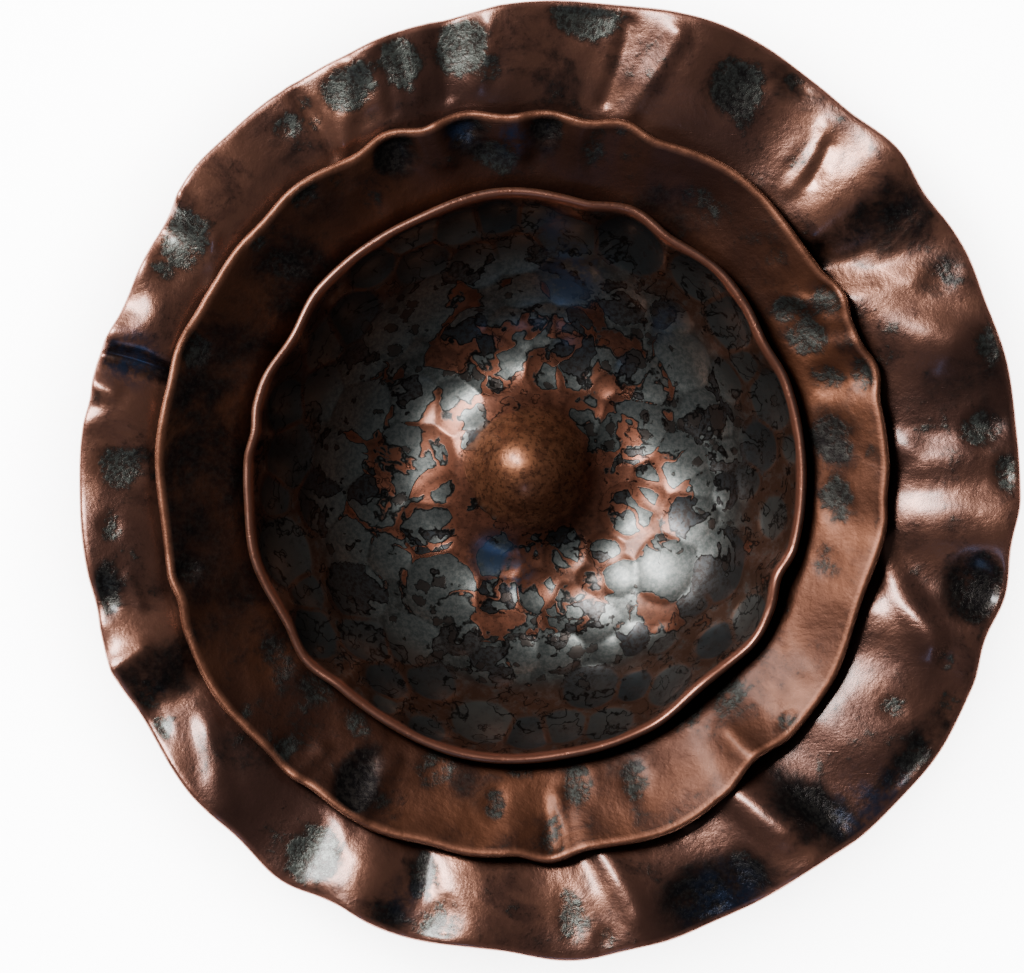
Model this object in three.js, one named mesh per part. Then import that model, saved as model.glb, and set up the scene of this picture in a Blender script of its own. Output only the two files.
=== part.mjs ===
// A nest of three hand-hammered copper bowls, seen the way they are stored: stacked
// loosely inside one another, each raised from a single sheet of copper.
//   outer_dish   the widest and shallowest, with a broad ruffled flange
//   middle_bowl  a sloping wall whose rim is beaten into waves
//   inner_bowl   the deepest, with a domed boss raised in the middle of its floor
// Millimetres, +Z up. The origin is the middle of the flat foot of the outer dish.

import * as THREE from 'three';

const SHEET = 2.5;          // thickness of the copper sheet
const REST_GAP = 0.3;       // clearance between a bowl and the one it rests in
const RIM_SWELL = 0.35;     // how far the upset rim stands proud of the sheet, each side
const RIM_STEPS = 4;        // facets around the rounded edge of a rim
const RIM_SWELL_FROM = 0.3; // the swelling starts this far along the last curve

const OUTER_FLOOR = SHEET;
const MIDDLE_FLOOR = OUTER_FLOOR + REST_GAP + SHEET;
const INNER_FLOOR = MIDDLE_FLOOR + REST_GAP + SHEET;

const COPPER_COLOUR = 0x8a4b32;
const DARK_COPPER_COLOUR = 0x6d3a29;
const PATINA_COLOUR = 0x4c4a45;

const DEGREE = Math.PI / 180;

// Smooth 0 to 1 step between two values.
function ease(from, to, value) {
  const t = Math.min(1, Math.max(0, (value - from) / (to - from)));
  return t * t * (3 - 2 * t);
}

// One rounded wave of height 1 at a given angle, falling to nothing at half its width.
function lobe(angle, centre, halfWidth) {
  const turns = (angle - centre) / 360;
  const away = Math.abs(turns - Math.round(turns)) * 360;
  return away < halfWidth ? 0.5 + 0.5 * Math.cos((Math.PI * away) / halfWidth) : 0;
}

// Sum of a list of waves, each [angle, half width in degrees, millimetres].
function waves(list, angle) {
  return list.reduce((sum, [centre, halfWidth, height]) => sum + height * lobe(angle, centre, halfWidth), 0);
}

// Closed outline of one sheet: the upper face from the middle outwards, round the rim, and
// the lower face back to the middle. The lower face is the upper face offset by the sheet.
// `facets` tells how many straight pieces stand in for each curve of the upper face.
function sheetOutline(upperFace, facets) {
  const upper = [];
  const lower = [];
  const place = (curve, share, swell) => {
    const point = curve.getPointAt(share);
    const tangent = curve.getTangentAt(share);
    const normal = new THREE.Vector2(-tangent.y, tangent.x);
    upper.push(point.clone().addScaledVector(normal, swell));
    lower.push(point.clone().addScaledVector(normal, -SHEET - swell));
  };
  place(upperFace.curves[0], 0, 0);
  upperFace.curves.forEach((curve, index) => {
    const isLast = index === upperFace.curves.length - 1;
    for (let i = 1; i <= facets[index]; i += 1) {
      const share = i / facets[index];
      place(curve, share, isLast ? RIM_SWELL * ease(RIM_SWELL_FROM, 1, share) : 0);
    }
  });
  const lastUpper = upper[upper.length - 1];
  const lastLower = lower[lower.length - 1];
  const across = lastUpper.clone().sub(lastLower);
  const middle = lastUpper.clone().add(lastLower).multiplyScalar(0.5);
  const half = across.length() / 2;
  const up = across.normalize();
  const out = upperFace.getTangentAt(1);
  const edge = [];
  for (let i = 1; i < RIM_STEPS; i += 1) {
    const turn = (Math.PI * i) / RIM_STEPS;
    const point = middle.clone().addScaledVector(up, half * Math.cos(turn));
    edge.push(point.addScaledVector(out, half * Math.sin(turn)));
  }
  return [...upper, ...edge, ...lower.reverse()];
}

// Turns the outline into a round bowl, then lets `shape` beat it out of round.
// shape(angle in degrees, radius, height) returns the new [x, y, z].
function raise(name, outline, segments, colour, roughness, shape) {
  const geometry = new THREE.LatheGeometry(outline.slice().reverse(), segments);
  geometry.rotateX(Math.PI / 2);
  const position = geometry.attributes.position;
  for (let i = 0; i < position.count; i += 1) {
    const x = position.getX(i);
    const y = position.getY(i);
    const radius = Math.hypot(x, y);
    const angle = (Math.atan2(y, x) / DEGREE + 360) % 360;
    const [newX, newY, newZ] = shape(angle, radius, position.getZ(i));
    position.setXYZ(i, newX, newY, newZ);
  }
  geometry.computeVertexNormals();
  const material = new THREE.MeshStandardMaterial({ color: colour, roughness, metalness: 1 });
  const mesh = new THREE.Mesh(geometry, material);
  mesh.name = name;
  return mesh;
}

// Where a beaten point goes: the wall is drawn out towards the rim, so every wave grows
// with the radius, from nothing at `from` to its full size at `rim`.
// A ring of a bowl can sit a little to one side: each entry of `skew` is [x, y, four radii],
// and its shift grows from the first radius to the second and dies away from the third to
// the last.
function beaten(angle, radius, height, plan) {
  const share = ease(plan.from, plan.rim, radius);
  const oval = 1 + plan.oval * Math.cos(2 * angle * DEGREE) * ease(plan.foot, plan.rim, radius);
  const reach = radius * oval + waves(plan.outward, angle) * share;
  const rise = waves(plan.upward, angle) * share;
  let x = plan.centre[0] + reach * Math.cos(angle * DEGREE);
  let y = plan.centre[1] + reach * Math.sin(angle * DEGREE);
  for (const [aside, along, grow, full, fade, gone] of plan.skew) {
    const shift = ease(grow, full, radius) * (1 - ease(fade, gone, radius));
    x += aside * shift;
    y += along * shift;
  }
  return [x, y, height + rise];
}

// Outer dish: a flat foot, a rounded wall and a broad flange beaten into ruffles.
const OUTER = {
  centre: [0, 0],
  skew: [[-8, -1.5, 40, 100, 122, 168]],
  foot: 60,
  from: 104,
  rim: 176,
  oval: -0.002,
  outward: [
    [15, 9, 0.9], [30, 9, 1.9], [44, 8, 3.2], [69, 26, 5.4], [92, 13, 2.4], [109, 6, 0.8],
    [127, 12, 0.6], [139, 7, 1.2], [155, 22, -3.4], [164, 6, 1.0], [203, 8, 2.4],
    [222, 12, 1.7], [236, 9, 3.9], [251, 11, 2.7], [273, 10, 3.1], [284, 7, 1.2],
    [303, 9, -1.6], [313, 7, 0.8], [325, 13, 1.9], [340, 6, -2.6], [352, 6, -2.0],
  ],
  upward: [
    [5, 10, -2.2], [19, 9, 2.2], [35, 8, -3.2], [43.5, 7, 4.0], [57, 9, -2.6], [71.5, 8, 3.4],
    [83, 8, -2.2], [96, 8, 3.0], [103, 6, -1.8], [112, 7, 2.2], [127, 9, -1.8], [141, 7, 2.2],
    [151, 6, -2.0], [159, 5, 1.4], [165, 4, -2.8], [170, 5, 1.8], [178, 8, -1.4], [190, 9, 1.6],
    [203, 7, 3.2], [211, 7, -2.8], [223, 9, 2.0], [233, 8, -2.2], [245.5, 7, 3.6],
    [252, 6, -2.6], [260, 7, 1.6], [270, 6, -1.6], [281.5, 6, 2.4], [293, 9, -2.6],
    [303.5, 7, 3.0], [312, 8, -2.6], [324, 9, 1.6], [339, 7, 2.4], [346, 7, -3.0], [355, 7, 2.4],
  ],
};
const outerUpperFace = new THREE.Path()
  .moveTo(0, OUTER_FLOOR)
  .lineTo(58, OUTER_FLOOR)
  .bezierCurveTo(76, OUTER_FLOOR, 93, 12, 103, 28)
  .bezierCurveTo(109, 37.6, 111, 46, 120, 50)
  .bezierCurveTo(134, 56.2, 148, 61.5, 160, 63.4)
  .bezierCurveTo(166, 64.35, 171, 64.9, 176, 64.8);

// Middle bowl: a steeper wall whose rim bulges outwards wherever the hammer struck it.
const MIDDLE = {
  centre: [-10.5, -1.7],
  skew: [[1.1, 2.8, 30, 80, 108, 134]],
  foot: 48,
  from: 104,
  rim: 137,
  oval: -0.004,
  outward: [
    [18, 5, 2.8], [31, 5, 2.7], [55, 17, 3.9], [74, 6, 3.0], [86, 6, 1.9], [99, 7, 2.9],
    [111, 6, 3.1], [127, 10, 2.2], [140, 8, 0.8], [158, 7, 1.6], [187, 14, -2.2],
    [199, 5, -2.0], [214, 12, 1.6], [231, 5, 1.2], [246, 12, 2.2], [262, 9, 1.2],
    [274.5, 6, 3.0], [294, 14, 2.9], [310.5, 7, -3.4], [341, 15, -3.4], [358, 5, -1.0],
  ],
  upward: [
    [18, 7, -1.2], [25, 5, 1.0], [55, 14, -1.2], [86, 6, -1.4], [99, 6, -1.4],
    [111, 6, -1.2], [127, 9, 1.0], [158, 6, -1.4], [170, 10, 1.2], [198, 7, 1.4],
    [231, 6, -1.4], [241, 7, 1.4], [274, 7, -1.6], [310, 8, 1.8], [340, 14, 1.4],
  ],
};
const middleUpperFace = new THREE.Path()
  .moveTo(0, MIDDLE_FLOOR)
  .lineTo(48, MIDDLE_FLOOR)
  .bezierCurveTo(62, MIDDLE_FLOOR, 78, 13, 89, 27)
  .bezierCurveTo(98, 37, 103, 50, 112.5, 54)
  .bezierCurveTo(121.5, 57.8, 130, 63, 137, 66.2);

// Inner bowl: a deep cup. Its boss is the same sheet pushed up from below.
const INNER = {
  centre: [-9.4, 1.1],
  skew: [[1.2, 3.4, -2, -1, 16, 34], [-5, 4, 18, 38, 44, 80]],
  foot: 60,
  from: 74,
  rim: 104,
  oval: -0.004,
  outward: [
    [29, 9, -1.6], [46, 13, 1.6], [68, 10, 3.2], [95, 20, 2.6], [149, 12, -2.9],
    [170.5, 6, -1.4], [197, 13, 1.6], [220, 9, 2.5], [258, 24, 1.5], [310, 14, -2.3],
    [326, 8, 1.2], [338.5, 7, -2.4],
  ],
  upward: [
    [29, 9, 0.8], [68, 10, -1.0], [95, 16, -0.8], [149, 11, 1.4], [171, 7, 0.8],
    [220, 9, -1.0], [296, 9, -0.8], [310, 9, 1.0], [338, 8, 1.0],
  ],
};
const innerUpperFace = new THREE.Path()
  .moveTo(0, INNER_FLOOR + 22)
  .bezierCurveTo(7, INNER_FLOOR + 22, 12, INNER_FLOOR + 18.4, 16.5, INNER_FLOOR + 13)
  .bezierCurveTo(21, INNER_FLOOR + 7.6, 29, INNER_FLOOR, 41, INNER_FLOOR)
  .lineTo(42, INNER_FLOOR)
  .bezierCurveTo(54, INNER_FLOOR, 67, 15.5, 78, 26)
  .bezierCurveTo(87, 35, 97, 48, 104, 59.6);

const outerDish = raise(
  'outer_dish',
  sheetOutline(outerUpperFace, [1, 5, 4, 4, 2]),
  108,
  COPPER_COLOUR,
  0.34,
  (angle, radius, height) => beaten(angle, radius, height, OUTER),
);

const middleBowl = raise(
  'middle_bowl',
  sheetOutline(middleUpperFace, [1, 5, 5, 4]),
  96,
  DARK_COPPER_COLOUR,
  0.38,
  (angle, radius, height) => beaten(angle, radius, height, MIDDLE),
);

const innerBowl = raise(
  'inner_bowl',
  sheetOutline(innerUpperFace, [4, 4, 1, 5, 5]),
  72,
  PATINA_COLOUR,
  0.36,
  (angle, radius, height) => beaten(angle, radius, height, INNER),
);

const nest = new THREE.Group();
nest.name = 'hammered_copper_bowl_nest';
nest.add(outerDish, middleBowl, innerBowl);

export default nest;
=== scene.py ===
"""Looks of a nest of three hammered copper bowls: beaten rims, hammer dents, worn patina."""

import math

import bpy
import numpy as np
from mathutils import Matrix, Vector


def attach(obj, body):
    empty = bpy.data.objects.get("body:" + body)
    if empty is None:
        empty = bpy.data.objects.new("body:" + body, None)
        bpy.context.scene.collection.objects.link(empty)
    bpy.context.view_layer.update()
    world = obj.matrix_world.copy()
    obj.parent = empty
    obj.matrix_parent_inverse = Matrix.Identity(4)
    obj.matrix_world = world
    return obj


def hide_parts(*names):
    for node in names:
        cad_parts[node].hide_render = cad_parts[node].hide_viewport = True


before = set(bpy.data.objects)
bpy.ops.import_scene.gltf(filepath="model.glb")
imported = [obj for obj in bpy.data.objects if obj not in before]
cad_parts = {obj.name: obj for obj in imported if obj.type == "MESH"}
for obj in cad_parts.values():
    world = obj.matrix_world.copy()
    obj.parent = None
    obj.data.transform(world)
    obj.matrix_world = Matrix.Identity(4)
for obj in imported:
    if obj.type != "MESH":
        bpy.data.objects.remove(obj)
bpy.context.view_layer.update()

# Millimetres, in the frame's own axes; MM turns them into metres when a mesh is made.
MM = 0.001
SHEET = 2.5  # thickness of the copper
REST_GAP = 0.3  # between the feet of nested bowls
OUTER_FLOOR = SHEET
MIDDLE_FLOOR = OUTER_FLOOR + REST_GAP + SHEET
INNER_FLOOR = MIDDLE_FLOOR + REST_GAP + SHEET

RIM_SWELL = 0.35  # how far the upset rim stands proud of the sheet, each side
RIM_SWELL_FROM = 0.93  # share of the way from the middle to the rim where it starts
RIM_UNEVEN = 0.44  # share of itself by which the swelling comes and goes
RIM_ROWS = 7  # rows of faces round the rounded edge
DEEPEST_DENT = 2.0  # deep hammer marks level off at this depth
DENTS_FADE = 3.5  # hammer marks fade from this far inside the rim
DENTS_GONE = 0.3  # and are gone this far inside it
UNDERSIDE_BUMP = 0.25  # size of the soft bumps underneath
UNDERSIDE_BUMPS_FROM = (60, 80)  # radii between which they grow, outside the foot
UNDERSIDE_FOLLOWS = 0.5  # share of an upper dent that also shows underneath
UNDERSIDE_FOLLOWS_FROM = (90, 110)  # radii between which that share grows


# ---------------------------------------------------------------- small mathematics

def ease(start, end, value):
    """Smooth step from 0 at start to 1 at end."""
    t = np.clip((np.asarray(value, float) - start) / (end - start), 0, 1)
    return t * t * (3 - 2 * t)


def turn_between(angle, centre):
    """Signed degrees from centre to angle, the short way round."""
    return (angle - centre + 180) % 360 - 180


def lobe(angle, centre, half_width):
    """One rounded wave of height 1."""
    away = np.clip(np.abs(turn_between(angle, centre)) / half_width, 0, 1)
    return 0.5 + 0.5 * np.cos(np.pi * away)


def waves(listed, angle):
    """Sum of waves, each (angle, half width in degrees, millimetres)."""
    total = np.zeros_like(angle)
    for centre, half_width, height in listed:
        total += height * lobe(angle, centre, half_width)
    return total


def bezier(points, steps):
    """Points along a cubic curve with the four given points."""
    t = np.linspace(0, 1, steps)[:, None]
    a, b, c, d = (np.array(p, float) for p in points)
    return a * (1 - t) ** 3 + 3 * b * (1 - t) ** 2 * t + 3 * c * (1 - t) * t**2 + d * t**3


def course(start, *curves):
    """One fine line through a start point and curves of three further points each."""
    line = [np.array([start], float)]
    for curve in curves:
        here = line[-1][-1]
        if len(curve) == 1:
            piece = np.linspace(here, np.array(curve[0], float), 60)
        else:
            piece = bezier([here, *curve], 160)
        line.append(piece[1:])
    return np.concatenate(line)


def along(line, spots):
    """Points of a line at the given lengths."""
    step = np.hypot(*np.diff(line, axis=0).T)
    length = np.concatenate([[0], np.cumsum(step)])
    return np.interp(spots, length, line[:, 0]), np.interp(spots, length, line[:, 1])


def line_length(line):
    """Length of a line, as the spots along it are measured."""
    return float(np.hypot(*np.diff(line, axis=0).T).sum())


# ---------------------------------------------------------------- the three bowls

# Each plan says how a round bowl is beaten out of shape. Angles are in degrees round the
# bowl's own middle, and lengths are in millimetres.
#   centre   the bowl's own middle; rim is the radius of its edge
#   skew     rings that sit to one side: (x, y, and the radii where the shift starts, is full,
#            starts to fade and is gone)
#   foot     radius from which the bowl grows oval; oval says by what share of the radius
#   from     radius from which the waves grow, up to the rim
#   outward  waves of the outline, and upward waves of the height: (angle, half width in
#            degrees, size)
#   turned   places where the rim is turned up or down: (angle, half width in degrees, radius
#            where it starts, lift at the rim)
#   folds    ridges and grooves from one (angle, radius) to another, then half width and lift
#   line     the upper face from the middle to the rim

OUTER = {
    "name": "outer_dish",
    "centre": (0.0, 0.0),
    "skew": [(-8, -1.5, 40, 100, 122, 168)],
    "foot": 60,
    "from": 104,
    "rim": 176,
    "oval": -0.002,
    "outward": [
        (15, 9, 0.9), (30, 9, 1.9), (44, 8, 3.2), (69, 26, 5.4), (92, 13, 2.4), (109, 6, 0.8),
        (127, 12, 0.6), (139, 7, 1.2), (155, 22, -3.4), (164, 6, 1.0), (203, 8, 2.4),
        (222, 12, 1.7), (236, 9, 3.9), (251, 11, 2.7), (273, 10, 3.1), (284, 7, 1.2),
        (303, 9, -1.6), (313, 7, 0.8), (325, 13, 1.9), (340, 6, -2.6), (352, 6, -2.0),
    ],
    "upward": [
        (5, 10, -2.2), (19, 9, 2.2), (35, 8, -3.2), (43.5, 7, 4.0), (57, 9, -2.6),
        (71.5, 8, 3.4), (83, 8, -2.2), (96, 8, 3.0), (103, 6, -1.8), (112, 7, 2.2),
        (127, 9, -1.8), (141, 7, 2.2), (151, 6, -2.0), (159, 5, 1.4), (165, 4, -2.8),
        (170, 5, 1.8), (178, 8, -1.4), (190, 9, 1.6), (203, 7, 3.2), (211, 7, -2.8),
        (223, 9, 2.0), (233, 8, -2.2), (245.5, 7, 3.6), (252, 6, -2.6), (260, 7, 1.6),
        (270, 6, -1.6), (281.5, 6, 2.4), (293, 9, -2.6), (303.5, 7, 3.0), (312, 8, -2.6),
        (324, 9, 1.6), (339, 7, 2.4), (346, 7, -3.0), (355, 7, 2.4),
    ],
    "turned": [
        (146.5, 4.5, 150, -5.2), (157.5, 5, 159, -3.8), (170, 3.5, 160, -3.4), (121, 6, 162, -1.6),
        (195, 3.5, 158, -1.8), (200.5, 3, 163, -1.6), (101, 5, 158, -1.6), (109, 3.5, 158, -1.2),
        (330, 22, 138, -5.0), (292, 14, 142, -3.5), (240, 6, 166, -1.2), (12, 16, 146, -3.0),
        (60, 12, 150, -2.0), (27, 10, 146, -2.0), (220, 10, 158, 1.5),
    ],
    "folds": [
        (19, 158, 33, 131, 15, 2.4), (30, 176, 38, 131, 13, -1.7), (51.8, 168, 49.6, 146, 5, 0.9),
        (50.2, 164, 48.2, 152, 3.5, -1.0), (74, 174, 76, 143, 7, 1.5), (80.3, 174, 80.3, 146, 5, -1.3),
        (98, 172, 99, 152, 7, 1.2), (104.5, 172, 104, 150, 5, -1.3), (108, 172, 108, 152, 5, 0.9),
        (112, 172, 112, 150, 4, -1.1), (116, 172, 120, 148, 7, 1.2), (123.5, 172, 122, 146, 5, -1.2),
        (143, 176, 144, 155, 6, 1.5), (150, 176, 149, 150, 6, -0.9), (164, 176, 163.5, 142, 4.5, -2.4),
        (168.5, 176, 168.5, 168, 6, 1.4), (203.5, 178, 202.5, 165, 6, 1.6), (210, 174, 208, 132, 10, -1.1),
        (216, 157, 225, 174, 9, 1.2), (237.5, 176, 238, 152, 8, -0.8), (281.5, 166, 279.5, 130, 9, 1.4),
        (304, 158, 302.5, 126, 12, 2.2), (337, 157, 350, 132, 8, 2.0), (6, 138, 4, 126, 9, 1.2),
        (294, 139, 293, 130, 5, 1.0), (193, 162, 197, 160, 4, 0.7), (3.5, 172, 3, 146, 14, 2.2),
        (238, 178, 239, 150, 10, 0.8),
    ],
    "line": course(
        (0, OUTER_FLOOR),
        [(58, OUTER_FLOOR)],
        [(76, OUTER_FLOOR), (93, 12), (103, 28)],
        [(109, 37.6), (111, 46), (120, 50)],
        [(134, 56.2), (148, 61.5), (160, 63.4)],
        [(166, 64.35), (171, 64.9), (176, 64.8)],
    ),
}

MIDDLE = {
    "name": "middle_bowl",
    "centre": (-10.5, -1.7),
    "skew": [(1.1, 2.8, 30, 80, 108, 134)],
    "foot": 48,
    "from": 104,
    "rim": 137,
    "oval": -0.004,
    "outward": [
        (18, 5, 2.8), (31, 5, 2.7), (55, 17, 3.9), (74, 6, 3.0), (86, 6, 1.9), (99, 7, 2.9),
        (111, 6, 3.1), (127, 10, 2.2), (140, 8, 0.8), (158, 7, 1.6), (187, 14, -2.2),
        (199, 5, -2.0), (214, 12, 1.6), (231, 5, 1.2), (246, 12, 2.2), (262, 9, 1.2),
        (274.5, 6, 3.0), (294, 14, 2.9), (310.5, 7, -3.4), (341, 15, -3.4), (358, 5, -1.0),
    ],
    "upward": [
        (18, 7, -1.2), (25, 5, 1.0), (55, 14, -1.2), (86, 6, -1.4), (99, 6, -1.4),
        (111, 6, -1.2), (127, 9, 1.0), (158, 6, -1.4), (170, 10, 1.2), (198, 7, 1.4),
        (231, 6, -1.4), (241, 7, 1.4), (274, 7, -1.6), (310, 8, 1.8), (340, 14, 1.4),
    ],
    "turned": [(20, 30, 122, -0.8), (100, 22, 124, -0.8), (325, 50, 112, -2.2)],
    "folds": [
        (30, 138, 33, 124, 6, 1.4), (25, 138, 27, 124, 6, -1.2), (276.5, 138, 276, 120, 5, 1.1),
        (311, 138, 309, 122, 7, 1.0), (232, 138, 233, 126, 5, 1.0), (244, 136, 245, 118, 6, 0.9),
        (103.5, 138, 103, 124, 5, 1.0), (90, 138, 90, 124, 5, 0.8),
    ],
    "line": course(
        (0, MIDDLE_FLOOR),
        [(48, MIDDLE_FLOOR)],
        [(62, MIDDLE_FLOOR), (78, 13), (89, 27)],
        [(98, 37), (103, 50), (112.5, 54)],
        [(121.5, 57.8), (130, 63), (137, 66.2)],
    ),
}

INNER = {
    "name": "inner_bowl",
    "centre": (-9.4, 1.1),
    "skew": [(1.2, 3.4, -2, -1, 16, 34), (-5, 4, 18, 38, 44, 80)],
    "foot": 60,
    "from": 74,
    "rim": 104,
    "oval": -0.004,
    "outward": [
        (29, 9, -1.6), (46, 13, 1.6), (68, 10, 3.2), (95, 20, 2.6), (149, 12, -2.9),
        (170.5, 6, -1.4), (197, 13, 1.6), (220, 9, 2.5), (258, 24, 1.5), (310, 14, -2.3),
        (326, 8, 1.2), (338.5, 7, -2.4),
    ],
    "upward": [
        (29, 9, 0.8), (68, 10, -1.0), (95, 16, -0.8), (149, 11, 1.4), (171, 7, 0.8),
        (220, 9, -1.0), (296, 9, -0.8), (310, 9, 1.0), (338, 8, 1.0),
    ],
    "turned": [],
    "folds": [],
    "line": course(
        (0, INNER_FLOOR + 22),
        [(7, INNER_FLOOR + 22), (12, INNER_FLOOR + 18.4), (16.5, INNER_FLOOR + 13)],
        [(21, INNER_FLOOR + 7.6), (29, INNER_FLOOR), (41, INNER_FLOOR)],
        [(42, INNER_FLOOR)],
        [(54, INNER_FLOOR), (67, 15.5), (78, 26)],
        [(87, 35), (97, 48), (104, 59.6)],
    ),
}

# Hammer blows near the rims: (angle, radius, half width, half length, depth, patina).
# Angles in degrees round each bowl's own middle, lengths in millimetres, patina a strength.
OUTER_BLOWS = [
    (85.5, 172, 13, 9, 1.2, 1.0), (64.5, 161, 11, 10, 1.3, 0.9), (58, 173, 7, 5, 0.8, 0.6),
    (51.5, 159, 4, 11, 0.6, 0.5), (27.5, 165, 6, 9, 1.2, 0.6), (17, 172, 8, 6, 1.4, 0.9),
    (7, 165, 8, 8, 1.4, 0.8), (1, 172, 7, 6, 1.2, 0.8), (101.5, 165, 10, 11, 1.2, 1.1),
    (109.5, 165, 8, 11, 1.3, 1.1), (117, 165, 12, 9, 1.5, 1.1), (98, 153, 6, 8, 0.6, 0.6),
    (116, 152, 7, 4, 0.5, 0.4), (123, 164, 5, 7, 0.8, 0.5), (126.5, 165, 6, 5, 0.7, 0.6),
    (146.5, 165, 12, 12, 0.7, 1.0), (151.5, 167, 3, 8, 0.5, 0.6), (178, 161, 9, 11, 1.3, 0.8),
    (186, 166, 6, 5, 0.9, 0.7), (194, 172, 9, 5, 1.0, 0.8), (208, 170, 7, 7, 1.2, 0.6),
    (212.5, 173, 5, 4, 0.7, 0.6), (238, 162, 10, 13, 1.4, 0.9), (253, 153, 6, 10, 1.0, 0.8),
    (256.5, 169, 8, 11, 1.0, 0.8), (249, 170, 7, 9, 1.3, 0.4), (273, 161, 6, 12, 0.9, 0.8),
    (277, 171, 4, 5, 0.6, 0.6), (290, 167, 12, 11, 2.2, 0.9), (297, 165, 6, 11, 1.0, 0.7),
    (309.5, 161, 7, 14, 2.0, 0.9), (322, 171, 14, 6, 1.6, 0.7), (327, 155, 5, 5, 0.7, 0.7),
    (331, 171, 4, 5, 0.6, 0.6), (335.5, 164, 5, 4, 0.6, 0.7), (346, 167, 14, 11, 2.6, 1.0),
    (38, 150, 9, 24, 1.6, 0.2),
]
MIDDLE_BLOWS = [
    (4.5, 133, 5, 5, 0.4, 0.4), (8, 118, 10, 10, 0.9, 0.8), (18, 134, 7, 6, 1.4, 0.7),
    (18.5, 120, 7, 7, 1.0, 0.9), (27, 120, 9, 8, 1.0, 0.9), (31.5, 133, 7, 7, 1.4, 0.9),
    (33, 118, 5, 7, 0.8, 0.9), (42, 127, 4, 6, 0.4, 0.4), (57, 122, 10, 7, 0.6, 0.7),
    (74, 136, 4, 3, 0.3, 0.4), (78, 128, 5, 10, 0.7, 0.5), (88, 120, 5, 5, 0.5, 0.5),
    (86, 133, 6, 7, 2.0, 0.9), (95, 122, 9, 7, 0.9, 0.8), (99.5, 134, 6.5, 7, 2.2, 0.9),
    (111, 132, 8, 9, 2.2, 0.8), (119, 118, 5, 8, 0.6, 0.5), (127, 134, 7, 6, 0.9, 0.8),
    (121, 131, 5, 5, 0.6, 0.6), (137.5, 134, 4, 3, 0.4, 0.6), (138, 122, 6, 8, 0.6, 0.5),
    (157.5, 133, 7, 7, 1.4, 0.9), (194.5, 132, 5, 6, 1.4, 0.5), (219, 134, 4, 4, 0.5, 0.5),
    (228, 133, 4.5, 5, 1.0, 0.8), (216, 116, 9, 8, 0.8, 0.7), (225, 111, 9, 5, 0.5, 0.7),
    (241, 128, 7, 11, 2.6, 0.9), (236, 112, 7, 5, 0.5, 0.6), (253, 114, 7, 7, 0.7, 0.6),
    (265, 121, 5, 6, 0.7, 0.9), (269.5, 110, 7, 4, 0.4, 0.8), (275, 131, 4.5, 8, 1.5, 0.6),
    (280, 116, 6, 8, 0.8, 0.9), (290.5, 119, 6, 7, 0.7, 0.8), (303, 109, 8, 5, 0.4, 0.6),
    (314, 112, 8, 6, 0.5, 0.5), (318.5, 134, 5, 4, 0.9, 0.5), (333, 110, 7, 3, 0.4, 0.5),
    (345, 120, 7, 7, 0.5, 0.4), (356, 119, 10, 8, 0.9, 0.9),
]

# Dark stains and painted shade (dark valleys and the side of a ring turned away from the light), placed in
# the same way: (angle, radius, half width, half length, strength).
OUTER_STAINS_AND_SHADE = [
    (37, 158, 13, 26, 0.6), (39, 136, 7, 14, 0.7), (10, 171, 26, 8, 0.6), (28, 165, 9, 12, 0.6),
    (58, 172, 13, 9, 0.6), (14, 156, 10, 14, 0.4), (206.5, 150, 12, 34, 0.75), (249.5, 166, 7, 14, 0.6),
    (252, 151, 7, 12, 0.6), (291.5, 167, 26, 14, 0.95), (309, 163, 12, 24, 0.95),
    (323, 170, 24, 8, 0.6), (346, 166, 15, 13, 1.0), (164, 164, 6, 28, 0.9), (180, 150, 16, 10, 0.3),
    (131, 156, 13, 12, 0.4), (194, 172, 13, 7, 0.6), (65, 160, 14, 13, 0.4), (75, 145, 9, 7, 0.3),
    (222, 150, 22, 16, 0.3), (90, 150, 30, 12, 0.3), (150, 148, 22, 12, 0.4),
]
# The middle bowl's list is partly painted shade: the broad patches on its left side, which faces away from
# the light.
MIDDLE_STAINS_AND_SHADE = [
    (241, 126, 9, 12, 1.0), (99, 130, 8, 9, 0.8), (111, 130, 9, 10, 0.9), (86, 130, 7, 9, 0.8),
    (182, 122, 66, 28, 0.6), (150, 120, 50, 16, 0.6), (140, 126, 12, 9, 0.5), (62, 116, 16, 8, 0.6),
    (10, 120, 16, 12, 0.6), (355, 120, 10, 10, 0.5), (215, 113, 22, 9, 0.5), (262, 118, 12, 9, 0.5),
    (290, 112, 14, 8, 0.5), (126, 128, 12, 8, 0.6),
]

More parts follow.
